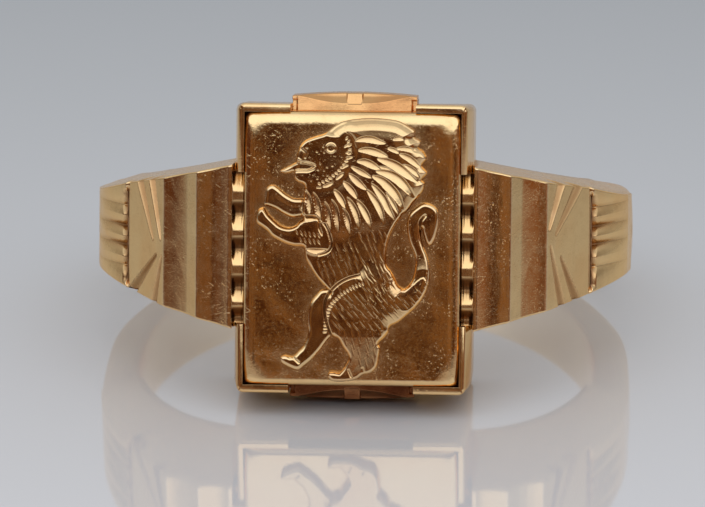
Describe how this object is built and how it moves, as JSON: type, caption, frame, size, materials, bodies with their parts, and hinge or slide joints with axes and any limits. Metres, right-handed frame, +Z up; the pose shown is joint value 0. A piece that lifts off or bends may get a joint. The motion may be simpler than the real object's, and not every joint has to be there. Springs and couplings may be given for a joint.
{
  "type": "signet ring",
  "caption": "Gold finger ring with a rectangular pillowed face plate carrying a standing lion in relief, notched side rails and stepped, carved shoulders.",
  "frame": {"origin": "centre of the bounding box in X and Y, on the table under the ring", "axes": "+Z up; -Y toward the face plate's side, +X to the right as the face is seen; the finger hole's axis leans back 11.8 degrees from +Z because the ring stands on its lower gallery block and on the back of its hoop"},
  "size_m": [0.0208, 0.0244, 0.0114],
  "materials": {
    "gold_hoop": "polished rose-yellow gold, worn, fine scratches along the hoop",
    "gold_shoulder": "carved rose-yellow gold, bright facets, darker in the cuts",
    "gold_head": "plain rose-yellow gold, softer polish on the underside",
    "gold_frame": "polished rose-yellow gold with rubbed edges",
    "gold_gallery": "filed rose gold with bright bevel cuts",
    "gold_rail": "polished lands, darker half-round scoops",
    "gold_plate": "polished rose-yellow gold, many fine scratches and small dents",
    "gold_lion": "chased rose-yellow gold, rubbed bright on the high strokes, dark in the cuts"
  },
  "bodies": {
    "root": {"shank": "gold_hoop", "shoulder_left": "gold_shoulder", "shoulder_right": "gold_shoulder", "head_base": "gold_head", "bezel_frame": "gold_frame", "gallery_north": "gold_gallery", "gallery_south": "gold_gallery", "rail_left": "gold_rail", "rail_right": "gold_rail", "face_plate": "gold_plate", "lion_relief": "gold_lion"}
  },
  "joints": []
}
